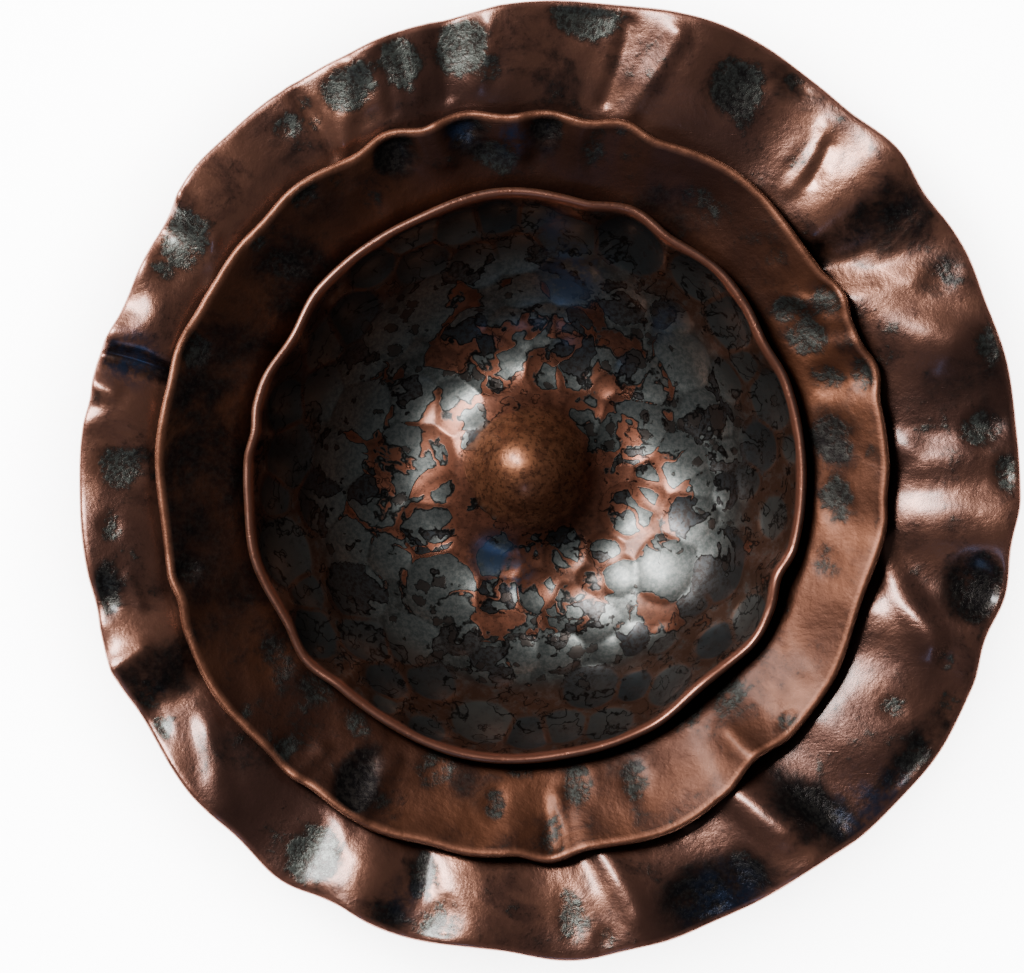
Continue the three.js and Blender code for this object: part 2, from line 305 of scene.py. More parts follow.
# Hammer blows inside the inner bowl: (x, y, radius), millimetres in the frame's own axes.
INNER_BLOWS = [
    (-52, 8, 15), (-51, 30, 10), (-36, 28, 10), (-22, 46, 12), (-45, 68, 14), (-48, 82, 11),
    (-62, 56, 11), (-75, 62, 12), (-86, 52, 11), (-73, 44, 11), (-86, 35, 12), (-100, 28, 11),
    (-99, 10, 13), (-80, 8, 13), (-72, 27, 13), (-67, 80, 10), (-52, 93, 11), (-34, 95, 10),
    (-20, 98, 10), (-28, 82, 11), (-12, 86, 10), (-4, 98, 9), (7, 92, 12), (30, 88, 14),
    (56, 76, 12), (68, 60, 12), (47, 62, 8), (52, 46, 12), (36, 39, 11), (12, 46, 12),
    (0, 42, 8), (20, 38, 6), (14, 26, 8), (33, 20, 13), (61, 24, 12), (51, 8, 12),
    (66, 11, 8), (67, 38, 9), (84, 31, 12), (80, 13, 10), (91, 12, 6), (8, 76, 12),
    (-4, 61, 9), (28, 68, 9), (-46, -2, 10), (-68, -8, 12), (-86, -8, 13), (-100, -27, 14),
    (-76, -22, 12), (-74, -42, 13), (-42, -42, 14), (-47, -18, 11), (-62, -28, 10),
    (-70, -60, 11), (-52, -62, 12), (-62, -76, 9), (-45, -76, 10), (-88, -57, 11),
    (-20, -30, 9), (-22, -72, 9), (-11, -67, 8), (-25, -91, 12), (-62, -84, 6),
    (-46, -93, 8), (-8, -95, 10), (-4, -43, 8), (-20, -44, 8), (17, -39, 6), (27, -37, 8),
    (46, -34, 13), (65, -33, 14), (55, -14, 11), (85, -14, 8.5), (57, -2, 8), (67, -4, 7),
    (76, 0, 7), (63, -61, 9), (75, -52, 10), (46, -78, 10), (24, -65, 6), (32, -61, 7),
    (43, -61, 7), (8, -50, 10), (18, -55, 8), (16, -79, 11), (4, -66, 9), (5, -93, 10),
    (22, -92, 10), (32, -78, 8), (30, -12, 10), (5, -26, 9), (-5, -26, 7), (22, -27, 7),
    (-33, 58, 9), (-14, 58, 9), (-104, -6, 9), (-92, -42, 9), (-34, -60, 8), (-8, 72, 9),
    (38, -5, 7), (-30, 14, 6), (8, 60, 8), (75, 44, 8), (56, -45, 8), (40, 2, 7),
]

# Painted blue reflections of the sky light, in the same axes: (x, y, radius, strength).
PAINTED_BLUE_REFLECTIONS = [
    (8, 78, 17, 1.0), (2, 96, 9, 0.8), (-21, -29, 12, 1.0), (-12, -36, 9, 0.7),
    (-158, 46, 16, 0.9), (122, -123, 22, 0.7), (66, -160, 22, 0.8), (-14, 128, 9, 0.9),
    (-34, 131, 8, 0.9), (44, 60, 10, 0.4), (-55, -157, 12, 0.3),
]


def polar(angle, radius):
    """A point round a bowl's middle, from degrees and a radius."""
    turn = math.radians(angle)
    return radius * np.array([math.cos(turn), math.sin(turn)])


def folded(rise, folds, x, y):
    """Heights with the rounded ridges and grooves added."""
    for start_angle, start_radius, end_angle, end_radius, half_width, lift in folds:
        begin = polar(start_angle, start_radius)
        way = polar(end_angle, end_radius) - begin
        share = np.clip(((x - begin[0]) * way[0] + (y - begin[1]) * way[1]) / (way @ way), 0, 1)
        away = np.hypot(x - begin[0] - way[0] * share, y - begin[1] - way[1] * share)
        rise = rise + lift * (0.5 + 0.5 * np.cos(np.pi * np.clip(away / half_width, 0, 1)))
    return rise


def shell(plan, spots, angle):
    """Smooth upper face before the hammer marks: points, normals and radii on a grid."""
    r, z = along(plan["line"], spots)
    r, z, a = r[:, None], z[:, None], angle[None, :]
    share = ease(plan["from"], plan["rim"], r)
    oval = 1 + plan["oval"] * np.cos(2 * np.radians(a)) * ease(plan["foot"], plan["rim"], r)
    reach = r * oval + waves(plan["outward"], a) * share
    rise = z + waves(plan["upward"], a) * share
    for centre, half_width, start, lift in plan["turned"]:
        far = np.clip((r - start) / (plan["rim"] - start), 0, 1)
        rise = rise + lift * lobe(a, centre, half_width) * far**2
    x = reach * np.cos(np.radians(a))
    y = reach * np.sin(np.radians(a))
    rise = folded(rise, plan["folds"], x, y)
    x = plan["centre"][0] + x
    y = plan["centre"][1] + y
    for aside, onward, grow, full, fade, gone in plan["skew"]:
        shift = ease(grow, full, r) * (1 - ease(fade, gone, r))
        x = x + aside * shift
        y = y + onward * shift
    points = np.stack(np.broadcast_arrays(x, y, rise), -1)
    outwards = np.gradient(points, spots, axis=0)
    round_way = np.roll(points, -1, 1) - np.roll(points, 1, 1)
    normal = np.cross(outwards, round_way)
    size = np.linalg.norm(normal, axis=-1, keepdims=True)
    normal = np.where(size > 1e-9, normal / np.maximum(size, 1e-9), [0, 0, 1.0])
    # all points of the first row are the middle of the bowl, where the round way has no length
    normal[0] = normal[1].mean(0) / np.linalg.norm(normal[1].mean(0))
    return points, normal, np.broadcast_to(r, points.shape[:2])


def caps(points, blows, depth_share, soften):
    """Round hammer marks: their depth together, the lead of the deepest, and which one it is."""
    flat = points.reshape(-1, 3)
    total = np.zeros(len(flat))
    best = np.zeros(len(flat))
    second = np.zeros(len(flat))
    owner = np.zeros(len(flat), int)
    for i, (centre, radius) in enumerate(blows):
        away = np.linalg.norm(flat - centre, axis=1) / radius
        inside = np.clip(1 - away**2, 0, None)
        depth = inside * radius * depth_share
        total += np.where(inside > 0, np.expm1(depth / soften), 0)
        better = depth > best
        second = np.where(better, best, np.maximum(second, depth))
        owner = np.where(better, i, owner)
        best = np.where(better, depth, best)
    depth = soften * np.log1p(total)
    shape = points.shape[:2]
    return depth.reshape(shape), (best - second).reshape(shape), owner.reshape(shape)


def oval_blows(blows, angle, r):
    """Depth and patina of the long hammer marks near a rim; q is 1 on a listed outline."""
    depth = np.zeros(r.shape)
    patina = np.zeros(r.shape)
    for centre, radius, half_width, half_length, deep, dark in blows:
        across = np.radians(turn_between(angle, centre)) * radius / half_width
        out = (r - radius) / half_length
        q = across**2 + out**2
        hollow = np.clip(1 - q * 0.8, 0, None)
        depth = np.maximum(depth, deep * hollow**1.3)
        patina = np.maximum(patina, dark * (1 - ease(0.25, 1.5, q)))
    return depth, patina


def ovals(listed, angle, r):
    """Strength of soft oval patches."""
    total = np.zeros(r.shape)
    for centre, radius, half_width, half_length, strength in listed:
        across = np.radians(turn_between(angle, centre)) * radius / half_width
        q = across**2 + ((r - radius) / half_length) ** 2
        total = np.maximum(total, strength * (1 - ease(0.2, 1.6, q)))
    return total


def weave(seed, points, size):
    """Smooth seeded noise, mostly between -1 and 1, with bumps of about the given size."""
    rng = np.random.default_rng(seed)
    total = np.zeros(points.shape[:-1])
    for _ in range(14):
        way = rng.normal(size=3)
        way *= 2 * np.pi / (size * rng.uniform(0.7, 1.6)) / np.linalg.norm(way)
        total += np.cos(points @ way + rng.uniform(0, 2 * np.pi))
    return total / 3.5


def rounded_edge(top, low, outwards):
    """Rows of points round the rim, from the last row on top to the last row below."""
    across = top - low
    middle = (top + low) / 2
    half = np.linalg.norm(across, axis=-1, keepdims=True) / 2
    up = across / (2 * half)
    out = outwards - up * (outwards * up).sum(-1, keepdims=True)
    out /= np.linalg.norm(out, axis=-1, keepdims=True)
    angles = [math.pi * i / RIM_ROWS for i in range(1, RIM_ROWS)]
    return [middle + half * (up * math.cos(a) + out * math.sin(a)) for a in angles]


def sheet_mesh(name, rows, turns):
    """A closed mesh from rings of points, with a single point at each end."""
    verts = np.concatenate(rows) * MM
    rings = len(rows) - 2
    here = np.arange(turns)
    after = (here + 1) % turns
    start = 1 + np.arange(rings)[:, None] * turns
    quads = np.stack(
        [start[:-1] + here, start[1:] + here, start[1:] + after, start[:-1] + after], -1
    ).reshape(-1, 4)
    last_ring = 1 + (rings - 1) * turns
    first = np.stack([np.zeros(turns, int), 1 + here, 1 + after], -1)
    last = np.stack([np.full(turns, len(verts) - 1), last_ring + after, last_ring + here], -1)
    loops = np.concatenate([first.ravel(), quads.ravel(), last.ravel()])
    sizes = np.concatenate([np.full(turns, 3), np.full(len(quads), 4), np.full(turns, 3)])
    mesh = bpy.data.meshes.new(name)
    mesh.vertices.add(len(verts))
    mesh.vertices.foreach_set("co", verts.ravel())
    mesh.loops.add(len(loops))
    mesh.loops.foreach_set("vertex_index", loops)
    mesh.polygons.add(len(sizes))
    mesh.polygons.foreach_set("loop_start", np.concatenate([[0], np.cumsum(sizes)[:-1]]))
    mesh.polygons.foreach_set("use_smooth", np.ones(len(sizes), bool))
    mesh.update(calc_edges=True)
    mesh.validate()
    return mesh


def add_marks(mesh, marks, turns, low_count):
    """Store each mark on every point: (values on top, value at the rim, value underneath)."""
    for name, (values, rim, below) in marks.items():
        rows = [values[0].mean(keepdims=True), *values[1:]]
        rows += [np.full(turns, v) for v in np.linspace(rim, below, RIM_ROWS - 1)]
        rows += [np.full(turns, below)] * (low_count - 1) + [np.array([below])]
        layer = mesh.attributes.new(name, "FLOAT", "POINT")
        layer.data.foreach_set("value", np.concatenate(rows).astype(np.float32))


def build(plan, spots, low_every, turns, finish_top):
    """A closed sheet: hammered upper face, rounded rim, quieter lower face."""
    angle = np.arange(turns) * 360.0 / turns
    points, normal, r = shell(plan, spots, angle)
    depth, marks = finish_top(points, r, np.broadcast_to(angle, r.shape))
    depth = DEEPEST_DENT * np.tanh(depth / DEEPEST_DENT)
    swell = (RIM_SWELL * ease(RIM_SWELL_FROM, 1, spots / spots[-1]))[:, None]
    edge_fade = 1 - ease(spots[-1] - DENTS_FADE, spots[-1] - DENTS_GONE, spots)[:, None]
    uneven = 1 + RIM_UNEVEN * weave(5, points, 26)
    top = points + normal * (swell * uneven - depth * edge_fade)[..., None]
    bumps = UNDERSIDE_BUMP * weave(9, points, 17) * ease(*UNDERSIDE_BUMPS_FROM, r) * edge_fade
    under = SHEET + swell + bumps
    under = under + UNDERSIDE_FOLLOWS * depth * edge_fade * ease(*UNDERSIDE_FOLLOWS_FROM, r)
    low_rows = np.arange(0, len(spots), low_every)
    if low_rows[-1] != len(spots) - 1:
        low_rows = np.append(low_rows, len(spots) - 1)
    low = (points - normal * under[..., None])[low_rows]
    rows = [top[0].mean(0, keepdims=True), *top[1:]]
    rows += rounded_edge(top[-1], low[-1], points[-1] - points[-2])
    rows += [*low[::-1][:-1], low[0].mean(0, keepdims=True)]
    mesh = sheet_mesh(plan["name"] + "_sheet", rows, turns)
    add_marks(mesh, marks, turns, len(low_rows))
    piece = bpy.data.objects.new(plan["name"] + "_hammered", mesh)
    bpy.context.scene.collection.objects.link(piece)
    return piece


def spots_between(*stops):
    """Lengths along a line from (length, step) stops: each step holds until the next stop."""
    out = [0.0]
    for (begin, step), (end, _) in zip(stops[:-1], stops[1:]):
        count = max(1, round((end - begin) / step))
        out += list(np.linspace(begin, end, count + 1)[1:])
    return np.array(out)


SOFT_BLOW_COUNT = 260  # at most
SOFT_BLOW_APART = 11  # least distance between two
SOFT_BLOW_BAND = 34  # they start this far inside the radius where the waves start
SOFT_BLOW_MARGIN = 4  # and end this far inside the rim
SOFT_BLOW_GIVE_UP = 0.01  # chance of stopping after a place that is too near another


def height_at(points, r, radius):
    """Height of the upper face at a radius, read along its first line of points."""
    return float(np.interp(radius, r[:, 0], points[:, 0, 2]))


def scattered_blows(plan, points, r, rng):
    """Broad, shallow hammer blows all over the wall and the flange."""
    middle_x, middle_y = plan["centre"]
    nearest = plan["from"] - SOFT_BLOW_BAND
    farthest = plan["rim"] - SOFT_BLOW_MARGIN
    places = []
    while len(places) < SOFT_BLOW_COUNT:
        turn = rng.uniform(0, 2 * math.pi)
        radius = math.sqrt(rng.uniform(nearest**2, farthest**2))
        place = np.array([middle_x + radius * math.cos(turn), middle_y + radius * math.sin(turn)])
        if all(np.hypot(*(place - other)) > SOFT_BLOW_APART for other in places):
            places.append(place)
        elif rng.random() < SOFT_BLOW_GIVE_UP:
            break
    blows = []
    for x, y in places:
        z = height_at(points, r, math.hypot(x - middle_x, y - middle_y))
        blows.append((np.array([x, y, z]), rng.uniform(8, 12)))
    return blows


def rim_wear(plan, r):
    """Bright copper where hands and shelves rub the rim."""
    return ease(plan["rim"] - 1.4, plan["rim"] - 0.4, r)


def edge_marks(plan, blows, stains_and_shade, cover_plan):
    """Marks of a bowl hammered mostly near its rim; cover_plan is the bowl that sits in it."""

    def work(points, r, angle):
        depth, patina = oval_blows(blows, angle, r)
        soft_blows = scattered_blows(plan, points, r, np.random.default_rng(len(blows)))
        soft, _, _ = caps(points, soft_blows, depth_share=0.03, soften=0.25)
        depth = depth + soft * ease(plan["from"] - 40, plan["from"] - 20, r)
        aside = points[..., :2] - np.array(cover_plan["centre"])
        past_cover = np.hypot(aside[..., 0], aside[..., 1]) - cover_plan["rim"]
        return depth, {
            "patina": (patina, 0.0, 0.25),
            "wear": (rim_wear(plan, r), 1.0, 0.0),
            # painted blue reflections of the sky light
            "blue": (blue_reflection_share(points, PAINTED_BLUE_REFLECTIONS), 0.0, 0.0),
            # painted shade under the bowl that sits inside, reaching just past its rim
            "painted_shade_under_bowl": (1 - ease(-7, 1, past_cover), 0.0, 0.0),
            # dark stains, and painted shade on valleys and on the side away from the light
            "stain_and_shade": (ovals(stains_and_shade, angle, r), 0.0, 0.2),
        }

    return work


def blue_reflection_share(points, spots):
    """Share of painted blue reflection: soft round spots (x, y, radius, strength)."""
    total = np.zeros(points.shape[:-1])
    for x, y, radius, strength in spots:
        away = np.hypot(points[..., 0] - x, points[..., 1] - y) / radius
        total = np.maximum(total, strength * (1 - ease(0.2, 1.0, away)))
    return total


BOSS_X = -8.3
BOSS_Y = 4.6
BLOW_SPREAD = 1.12  # the dents are this much wider than listed


def inner_marks(points, r, _angle):
    """Marks of the inner bowl: dents all over, except on the boss and at the rim."""
    blows = []
    for x, y, radius in INNER_BLOWS:
        z = height_at(points, r, math.hypot(x - INNER["centre"][0], y - INNER["centre"][1]))
        blows.append((np.array([x, y, z]), radius * BLOW_SPREAD))
    depth, lead, owner = caps(points, blows, depth_share=0.1, soften=0.1)
    boss = np.hypot(points[..., 0] - BOSS_X, points[..., 1] - BOSS_Y)
    tones = np.random.default_rng(4).uniform(0, 1, len(blows))
    return depth * ease(20, 34, boss), {
        "ridge": (1 - np.clip(lead / 0.7, 0, 1), 0.0, 0.3),
        "wear": (rim_wear(INNER, r), 1.0, 0.0),
        "bare": (ease(10, 26, boss) * (1 - ease(46, 84, boss)), 0.0, 0.0),
        "pale": (ease(20, 34, boss) * (1 - ease(62, 92, boss)), 0.0, 0.0),
        "tone": (tones[owner], 0.5, 0.5),
        # painted blue reflections of the sky light
        "blue": (blue_reflection_share(points, PAINTED_BLUE_REFLECTIONS), 0.0, 0.0),
        "boss": (1 - ease(17, 30, boss), 0.0, 1.0),
    }


outer_len = line_length(OUTER["line"])
middle_len = line_length(MIDDLE["line"])
inner_len = line_length(INNER["line"])
outer = build(
    OUTER,
    spots_between((0, 6), (90, 3), (outer_len - 78, 1.3), (outer_len, 1)),
    low_every=3,
    turns=520,
    finish_top=edge_marks(OUTER, OUTER_BLOWS, OUTER_STAINS_AND_SHADE, MIDDLE),
)
middle = build(
    MIDDLE,
    spots_between((0, 5), (70, 2.2), (middle_len - 62, 1.0), (middle_len, 1)),
    low_every=3,
    turns=460,
    finish_top=edge_marks(MIDDLE, MIDDLE_BLOWS, MIDDLE_STAINS_AND_SHADE, INNER),
)
inner = build(
    INNER,
    spots_between((0, 0.85), (inner_len, 1)),
    low_every=5,
    turns=420,
    finish_top=inner_marks,
)


# ---------------------------------------------------------------- materials

class Graph:
    """Short names for the shader nodes of one material."""

    def __init__(self, name):
        self.material = bpy.data.materials.new(name)
        self.material.use_nodes = True
        self.tree = self.material.node_tree
        self.tree.nodes.clear()
        self.out = self.node("ShaderNodeOutputMaterial")
        self.place = self.node("ShaderNodeTexCoord").outputs["Object"]

    def node(self, kind, **settings):
        node = self.tree.nodes.new(kind)
        for key, value in settings.items():
            setattr(node, key, value)
        return node

    def put(self, socket, value):
        if isinstance(value, bpy.types.NodeSocket):
            self.tree.links.new(value, socket)
        else:
            socket.default_value = value

    def math(self, operation, a, b=0.0):
        node = self.node("ShaderNodeMath", operation=operation)
        self.put(node.inputs[0], a)
        self.put(node.inputs[1], b)
        return node.outputs[0]

    def noise(self, per_metre, detail, roughness=0.5, distortion=0.0, vector=None):
        node = self.node("ShaderNodeTexNoise")
        self.put(node.inputs["Vector"], vector or self.place)
        node.inputs["Scale"].default_value = per_metre
        node.inputs["Detail"].default_value = detail
        node.inputs["Roughness"].default_value = roughness
        node.inputs["Distortion"].default_value = distortion
        return node.outputs["Fac"]

    def cells(self, per_metre, vector):
        node = self.node("ShaderNodeTexVoronoi", feature="F1")
        self.put(node.inputs["Vector"], vector)
        node.inputs["Scale"].default_value = per_metre
        return node.outputs["Distance"]

    def stretched(self, x, y, z):
        node = self.node("ShaderNodeMapping")
        self.put(node.inputs["Vector"], self.place)
        node.inputs["Scale"].default_value = (x, y, z)
        return node.outputs[0]

    def step(self, value, low, high, out_low=0.0, out_high=1.0):
        node = self.node("ShaderNodeMapRange", interpolation_type="SMOOTHSTEP")
        self.put(node.inputs["Value"], value)
        self.put(node.inputs["From Min"], low)
        self.put(node.inputs["From Max"], high)
        self.put(node.inputs["To Min"], out_low)
        self.put(node.inputs["To Max"], out_high)
        return node.outputs["Result"]

    def mix(self, share, a, b):
        node = self.node("ShaderNodeMix", data_type="RGBA")
        self.put(node.inputs[0], share)
        self.put(node.inputs[6], a)
        self.put(node.inputs[7], b)
        return node.outputs[2]

    def mark(self, name):
        return self.node("ShaderNodeAttribute", attribute_name=name).outputs["Fac"]

    def bump(self, height, distance, strength):
        node = self.node("ShaderNodeBump")
        node.inputs["Strength"].default_value = strength
        node.inputs["Distance"].default_value = distance
        self.put(node.inputs["Height"], height)
        return node.outputs[0]

    def surface(self, color, roughness, metallic, normal, coat):
        node = self.node("ShaderNodeBsdfPrincipled")
        self.put(node.inputs["Base Color"], color)
        self.put(node.inputs["Roughness"], roughness)
        self.put(node.inputs["Metallic"], metallic)
        self.put(node.inputs["Normal"], normal)
        node.inputs["Coat Weight"].default_value = coat
        node.inputs["Coat Roughness"].default_value = 0.18
        node.inputs["Coat IOR"].default_value = 1.5
        self.tree.links.new(node.outputs[0], self.out.inputs["Surface"])
        return self.material

    def swing(self, value, size):
        """A noise value moved from 0..1 round 0.5 to swing about zero."""
        return self.math("MULTIPLY", self.math("SUBTRACT", value, 0.5), size)

    def total(self, *values):
        out = values[0]
        for value in values[1:]:
            out = self.math("ADD", out, value)
        return out

    def times(self, a, b):
        return self.math("MULTIPLY", a, b)

    def outline(self, field, level, width):
        """A thin line where the field crosses a level."""
        return self.times(
            self.step(field, level - width, level), self.step(field, level + width, level)
        )

    def moved(self, x, y, z, wobble, amount):
        """Object coordinates moved aside, and stirred by a noise so that outlines wander."""
        node = self.node("ShaderNodeTexNoise")
        self.put(node.inputs["Vector"], self.place)
        node.inputs["Scale"].default_value = wobble
        node.inputs["Detail"].default_value = 3.0
        stir = self.node("ShaderNodeVectorMath", operation="MULTIPLY_ADD")
        self.tree.links.new(node.outputs["Color"], stir.inputs[0])
        stir.inputs[1].default_value = (amount, amount, amount)
        self.tree.links.new(self.place, stir.inputs[2])
        aside = self.node("ShaderNodeVectorMath", operation="ADD")
        self.tree.links.new(stir.outputs[0], aside.inputs[0])
        aside.inputs[1].default_value = (x, y, z)
        return aside.outputs[0]


def rgb(r, g, b):
    return (r, g, b, 1.0)


BLACK_SPECK = rgb(0.03, 0.018, 0.014)
BROWN_HALO = rgb(0.05, 0.034, 0.028)
ASH_SHADE = rgb(0.035, 0.034, 0.03)
# soot colours, also used for painted shade
SOOT_AND_SHADE = rgb(0.014, 0.011, 0.012)
THIN_SOOT_AND_SHADE = rgb(0.045, 0.036, 0.032)
PAINTED_BLUE_REFLECTION = rgb(0.03, 0.045, 0.085)
# painted shade under the next bowl
PAINTED_SHADE_UNDER_BOWL = rgb(0.020, 0.011, 0.009)


def worn_copper(name, brown, dark_brown, bright, light_ash, dark_ash, base_rough, coat):
    """Brown copper: ashen patina in the hammer marks, soot with painted shade, painted blue reflections,
    painted shade under the next bowl, and a rubbed rim.
    """
    g = Graph(name)
    patina, wear, blue = g.mark("patina"), g.mark("wear"), g.mark("blue")
    broad = g.noise(13, 3, 0.55)
    cloud = g.noise(45, 5, 0.62, 0.4)
    fine = g.noise(170, 5, 0.65)
    speck = g.noise(520, 4, 0.7)
    grain = g.noise(1300, 3, 0.65)
    # patina: an ashen core with a ragged edge, and a brown halo round it
    edge = g.total(patina, g.swing(cloud, 2.8), g.swing(fine, 1.6), g.swing(speck, 0.9))
    halo = g.step(edge, 0.1, 0.8)
    core = g.times(g.step(edge, 0.4, 0.95), g.step(speck, 0.34, 0.56, 0.5, 1.0))
    body = g.mix(g.step(broad, 0.35, 0.68), brown, dark_brown)
    body = g.mix(g.times(g.step(cloud, 0.44, 0.62), 0.85), body, dark_brown)
    freckle = g.times(g.step(speck, 0.54, 0.66), g.step(cloud, 0.42, 0.66))
    body = g.mix(g.times(freckle, 0.55), body, BLACK_SPECK)
    body = g.mix(g.times(halo, 0.75), body, BROWN_HALO)
    ash = g.mix(g.step(speck, 0.36, 0.66), dark_ash, light_ash)
    ash = g.mix(g.times(g.step(fine, 0.5, 0.7), 0.6), ash, ASH_SHADE)
    body = g.mix(g.times(core, 0.9), body, ash)
    # what lies over the patina: soot with painted shade, painted blue reflections, painted shade under the
    # next bowl, the rubbed rim
    # soot and stains, together with painted shade on valleys and on the side away from the light
    stain_and_shade = g.total(g.mark("stain_and_shade"), g.swing(cloud, 1.6), g.swing(fine, 0.8))
    soot_and_shade = g.mix(g.step(speck, 0.4, 0.65), SOOT_AND_SHADE, THIN_SOOT_AND_SHADE)
    body = g.mix(g.times(g.step(stain_and_shade, 0.1, 1.0), 0.9), body, soot_and_shade)
    # painted blue reflection of the sky light
    body = g.mix(g.times(blue, g.step(fine, 0.36, 0.62)), body, PAINTED_BLUE_REFLECTION)
    # painted shade under the next bowl
    body = g.mix(g.times(g.mark("painted_shade_under_bowl"), 0.85), body, PAINTED_SHADE_UNDER_BOWL)
    rub = g.times(wear, g.step(fine, 0.3, 0.6, 0.55, 1.0))
    body = g.mix(rub, body, bright)
    rough = g.total(base_rough, g.swing(fine, 0.2), g.swing(cloud, 0.12), g.times(core, 0.06))
    metal = g.total(0.72, g.times(core, 0.06))
    scratch = g.step(g.noise(60, 3, 0.6, 0.0, g.stretched(1.0, 14.0, 3.0)), 0.63, 0.7)
    scratch = g.times(scratch, g.step(broad, 0.5, 0.62))
    height = g.total(
        g.times(cloud, 1.5), g.times(fine, 0.6), g.times(speck, 0.2), g.times(grain, 0.07),
        g.times(core, g.times(speck, 0.4)), g.times(scratch, -0.07),
    )
    normal = g.bump(height, 0.0006, 0.55)
    return g.surface(body, rough, metal, normal, coat)


BARE_COPPER = rgb(0.30, 0.125, 0.08)
DULL_COPPER = rgb(0.18, 0.078, 0.05)
COPPER_SPECK = rgb(0.06, 0.03, 0.022)
DARK_OXIDE = (rgb(0.06, 0.064, 0.068), rgb(0.115, 0.106, 0.098))
PALE_OXIDE = (rgb(0.105, 0.115, 0.11), rgb(0.18, 0.183, 0.172))
WALL_OXIDE = (rgb(0.045, 0.052, 0.055), rgb(0.12, 0.115, 0.105))
OXIDE_BROWN = rgb(0.05, 0.04, 0.036)
PIT = rgb(0.07, 0.055, 0.048)
FLAKE_EDGE = rgb(0.010, 0.008, 0.007)
WALL_RIDGE = rgb(0.16, 0.085, 0.058)
BOSS_COPPER = rgb(0.38, 0.17, 0.095)
BOSS_BROWN = rgb(0.23, 0.10, 0.058)
BOSS_SPECK = rgb(0.05, 0.025, 0.018)
PAINTED_BLUE_GLINT = rgb(0.075, 0.105, 0.16)
RUBBED_RIM = rgb(0.36, 0.16, 0.11)


def patinated_copper(name):
    """Grey oxide that has flaked off in patches and veins, with a bare copper boss."""
    g = Graph(name)
    ridge, wear, boss, tone = g.mark("ridge"), g.mark("wear"), g.mark("boss"), g.mark("tone")
    bare, pale, blue = g.mark("bare"), g.mark("pale"), g.mark("blue")
    stirred = g.moved(0.3, 0.1, 0.2, 60, 0.010)
    shifted = g.moved(-0.2, 0.5, 0.7, 90, 0.007)
    broad = g.noise(15, 2, 0.5)
    blot = g.noise(36, 3, 0.5, 0.2, stirred)
    flake = g.noise(64, 3, 0.55, 0.3, shifted)
    fine = g.noise(230, 4, 0.62)
    speck = g.noise(620, 4, 0.7)
    grain = g.noise(1400, 3, 0.6)
    # bare copper shows where the oxide has flaked away: in patches and in branching veins
    on_ridges = g.times(ridge, g.total(g.times(bare, 0.32), 0.15))
    patch = g.total(on_ridges, g.times(bare, 0.065), g.swing(blot, 1.75), g.swing(fine, 0.3))
    vein = g.math("ABSOLUTE", g.swing(g.noise(33, 3, 0.55, 0.5, stirred), 2.0))
    vein = g.total(g.times(bare, 0.26), g.times(ridge, 0.12), g.times(vein, -1.5), g.swing(fine, 0.2), 0.22)
    copper_field = g.math("MAXIMUM", patch, vein)
    copper_mask = g.step(copper_field, 0.4, 0.44)
    pale_field = g.total(g.times(pale, 0.28), g.swing(flake, 2.1), g.swing(fine, 0.3), g.swing(tone, 0.5))
    pale_mask = g.step(pale_field, 0.1, 0.14)
    pit_field = g.total(g.cells(110, shifted), g.swing(fine, 0.8), g.swing(blot, 1.0))
    pit_mask = g.step(pit_field, 0.2, 0.17)
    copper = g.mix(g.step(broad, 0.4, 0.66), BARE_COPPER, DULL_COPPER)
    copper = g.mix(g.times(g.step(speck, 0.52, 0.66), 0.5), copper, COPPER_SPECK)
    dark = g.mix(tone, *DARK_OXIDE)
    dark = g.mix(g.step(speck, 0.42, 0.62), dark, OXIDE_BROWN)
    light = g.mix(g.step(speck, 0.35, 0.66), *PALE_OXIDE)
    oxide = g.mix(g.times(pale_mask, g.step(pale, 0.0, 0.5, 0.25, 1.0)), dark, light)
    oxide = g.mix(g.times(pit_mask, 0.85), oxide, PIT)
    wall = g.step(pale, 0.35, 0.0)
    dent = g.mix(tone, *WALL_OXIDE)
    dent = g.mix(g.step(ridge, 0.4, 0.85), dent, WALL_RIDGE)
    oxide = g.mix(g.times(wall, g.step(fine, 0.25, 0.6)), oxide, dent)
    body = g.mix(copper_mask, oxide, copper)
    lines = g.math("MAXIMUM", g.outline(copper_field, 0.4, 0.035), g.outline(pale_field, 0.1, 0.05))
    lines = g.math("MAXIMUM", lines, g.times(g.outline(pit_field, 0.2, 0.045), 0.9))
    seam = g.times(g.step(ridge, 0.5, 0.95), g.step(fine, 0.35, 0.6))
    lines = g.math("MAXIMUM", lines, g.times(seam, 0.45))
    body = g.mix(g.times(lines, 0.92), body, FLAKE_EDGE)
    boss_color = g.mix(g.step(fine, 0.4, 0.64), BOSS_COPPER, BOSS_BROWN)
    boss_color = g.mix(g.times(g.step(speck, 0.5, 0.62), 0.6), boss_color, BOSS_SPECK)
    boss_mask = g.step(g.total(boss, g.swing(blot, 1.4)), 0.4, 0.55)
    body = g.mix(g.times(boss, boss_mask), body, boss_color)
    # painted blue reflection of the sky light
    blue_mask = g.step(g.total(fine, g.swing(blot, 1.0)), 0.34, 0.6)
    body = g.mix(g.times(blue, blue_mask), body, PAINTED_BLUE_GLINT)
    body = g.mix(wear, body, RUBBED_RIM)
    rough = g.total(0.36, g.swing(fine, 0.2), g.times(boss, 0.06))
    height = g.total(
        g.times(pale_mask, 0.2), g.times(copper_mask, -0.2), g.times(pit_mask, -0.2),
        g.times(fine, 0.35), g.times(speck, 0.2), g.times(grain, 0.06),
    )
    normal = g.bump(height, 0.0005, 0.32)
    return g.surface(body, rough, 0.74, normal, 0.25)


